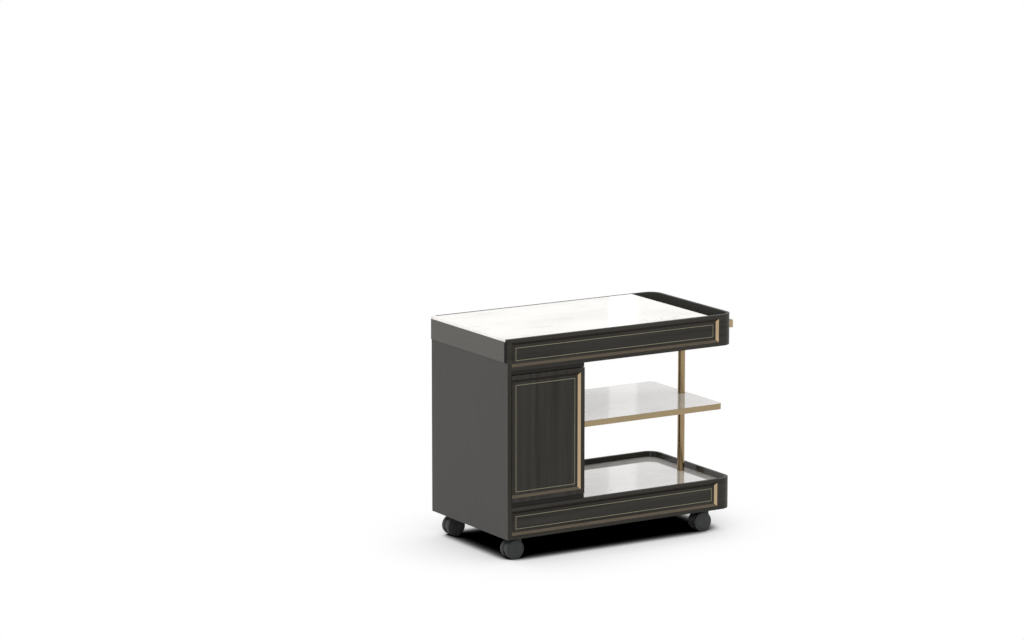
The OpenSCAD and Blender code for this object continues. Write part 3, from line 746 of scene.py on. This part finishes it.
def make_pieces():
    for node, material, width, segments in SOFTENED:
        soften(node, material, width, segments)
    side = soften("side_panel_left", "grey_panel", SANDED)
    finish_faces(side, "wood_door", lambda corners, normal: abs(normal.y) > NEARLY)
    for node, part in (("door_panel", "door"), ("cabinet_back_panel", "back_panel")):
        panel = soften(node, "wood_door", SANDED)
        # The border inside the moulding gets a darker, duller copy of the wood: painted shade of
        # the recess
        finish_faces(panel, "border_door", border_of(part + "_inlay", part + "_moulding"))
    for node, material in (
        ("door_moulding", "moulding_z"), ("back_panel_moulding", "moulding_z"),
        ("top_mouldings", "moulding_x"), ("bottom_mouldings", "moulding_x"),
    ):
        strips = soften(node, material, FINE)
        # Slopes facing up, towards the handle and down, and the lip, get dimmed, darker and
        # near-black copies of the brass: painted shade
        finish_faces(strips, "moulding_sill", lambda corners, normal: normal.z > SLOPING)
        finish_faces(strips, "moulding_bronze", lambda corners, normal: normal.x > SLOPING)
        finish_faces(strips, "moulding_shade", lies_flat_or_faces_down)
    for part in ("top", "bottom"):
        tray = soften(part + "_fascia", "wood_tray", SANDED)
        wrap_grain(tray, TRAY_CORNER)
        # The border inside the moulding gets a darker, duller copy of the wood: painted shade of
        # the recess
        finish_faces(tray, "border_tray", border_of(part + "_inlays", part + "_mouldings"))
        # The ends towards the cabinet get end grain, darkened further as painted shade
        finish_faces(tray, "end_grain", lambda corners, normal: normal.x < -NEARLY)
        if part == "top":
            # The rim's inward faces take the well's paler board in place of the tray's wood:
            # painted light
            finish_faces(tray, "well_board", faces_inward)
        else:
            finish_faces(tray, "wood_polished", faces_inward_at_end)
    for corner in CORNERS:
        soften("caster_housing_" + corner, "housing", CAST)
        for side in ("outer", "inner"):
            make_wheel(f"wheel_{corner}_{side}")
    make_column()
    make_caster_screws()
    for node, material in KEPT.items():
        for place in frame["nodes"][node].material_slots:
            place.material = MATERIALS[material]


# Stage --------------------------------------------------------------------------------------

FLOOR_REACH = 150.0
# How far off things shade the floor, and the floor's level by how open it is to the room
SHADOW_REACH = 0.5
SHADOW_SAMPLES = 48
SHADOW = [
    (0.240, 0.0), (0.325, 0.063), (0.375, 0.193), (0.425, 0.353), (0.475, 0.538), (0.525, 0.694),
    (0.575, 0.753), (0.675, 0.842), (0.775, 0.915), (0.875, 0.976), (0.945, 1.0),
]


def seen_directly(tree):
    """1 for camera, glossy and transmission rays, which show the background."""
    path = tree.nodes.new("ShaderNodeLightPath")
    total = path.outputs["Is Camera Ray"]
    for name in ("Is Glossy Ray", "Is Transmission Ray"):
        larger = tree.nodes.new("ShaderNodeMath")
        larger.operation = "MAXIMUM"
        tree.links.new(total, larger.inputs[0])
        tree.links.new(path.outputs[name], larger.inputs[1])
        total = larger.outputs[0]
    return total


def make_floor():
    """A white floor that keeps the soft dark shadow under and round the trolley."""
    reach = FLOOR_REACH
    corners = [(-reach, -reach, 0), (reach, -reach, 0), (reach, reach, 0), (-reach, reach, 0)]
    floor = new_piece("floor", corners, [(0, 1, 2, 3)])
    shader = Shader("floor", Base_Color=(0.8, 0.8, 0.8, 1.0), Roughness=0.9)
    hidden = shader.node("ShaderNodeAmbientOcclusion", samples=SHADOW_SAMPLES)
    hidden.inputs["Distance"].default_value = SHADOW_REACH
    glow = shader.node("ShaderNodeEmission")
    shader.link(shader.ramp(hidden.outputs["AO"], SHADOW), glow.inputs["Color"])
    chosen = shader.node("ShaderNodeMixShader")
    shader.link(seen_directly(shader.tree), chosen.inputs[0])
    shader.link(shader.bsdf.outputs[0], chosen.inputs[1])
    shader.link(glow.outputs[0], chosen.inputs[2])
    shader.link(chosen.outputs[0], shader.tree.nodes["Material Output"].inputs["Surface"])
    floor.data.materials.append(shader.material)


# Light from the horizon and from overhead, and where between them it turns, as the sine of
# the height: what lights the trolley, and what shows in its brass and gloss
LIT = (1.38, 0.28, 0.64, 0.94)
REFLECTED = (1.0, 0.22, 0.36, 0.72)


def make_world():
    """A white background, and a plain soft light that falls off overhead."""
    world = bpy.data.worlds.new("studio")
    world.use_nodes = True
    bpy.context.scene.world = world
    tree = world.node_tree
    tree.nodes.clear()
    place = tree.nodes.new("ShaderNodeTexCoord")
    parts = tree.nodes.new("ShaderNodeSeparateXYZ")
    tree.links.new(place.outputs["Generated"], parts.inputs[0])

    def strength(level, overhead, low, high):
        made = tree.nodes.new("ShaderNodeMapRange")
        tree.links.new(parts.outputs["Z"], made.inputs["Value"])
        for index, number in enumerate((low, high, level, overhead)):
            made.inputs[index + 1].default_value = number
        return made.outputs["Result"]

    lit = tree.nodes.new("ShaderNodeBackground")
    tree.links.new(strength(*LIT), lit.inputs["Strength"])
    shown = tree.nodes.new("ShaderNodeBackground")
    white = tree.nodes.new("ShaderNodeMath")
    white.operation = "MAXIMUM"
    path = tree.nodes.new("ShaderNodeLightPath")
    tree.links.new(path.outputs["Is Camera Ray"], white.inputs[0])
    tree.links.new(strength(*REFLECTED), white.inputs[1])
    tree.links.new(white.outputs[0], shown.inputs["Strength"])
    for background in (lit, shown):
        background.inputs["Color"].default_value = (1.0, 1.0, 1.0, 1.0)
    chosen = tree.nodes.new("ShaderNodeMixShader")
    tree.links.new(seen_directly(tree), chosen.inputs[0])
    tree.links.new(lit.outputs[0], chosen.inputs[1])
    tree.links.new(shown.outputs[0], chosen.inputs[2])
    output = tree.nodes.new("ShaderNodeOutputWorld")
    tree.links.new(chosen.outputs[0], output.inputs["Surface"])


# Name, place, width, height and power of the lamps, each aimed at the trolley's middle.
# The narrow one behind shows as a soft streak in the polished marble.
LAMPS = [
    ("overhead", (0.2, -0.3, 4.6), 3.6, 3.6, 32.0),
    ("behind", (3.47, 5.10, 1.85), 0.15, 1.3, 0.145),
]


def make_lamps():
    target = (cad_box[0] + cad_box[1]) / 2
    for name, place, width, height, power in LAMPS:
        data = bpy.data.lights.new(name, "AREA")
        data.shape = "RECTANGLE"
        data.size, data.size_y = width, height
        data.energy = power
        lamp = bpy.data.objects.new(name, data)
        lamp.location = place
        lamp.visible_camera = False
        lamp.rotation_mode = "QUATERNION"
        lamp.rotation_quaternion = (target - lamp.location).to_track_quat("-Z", "Y")
        bpy.context.scene.collection.objects.link(lamp)


make_camera()
make_pieces()
make_floor()
make_world()
make_lamps()
bpy.context.scene.view_settings.view_transform = "Standard"
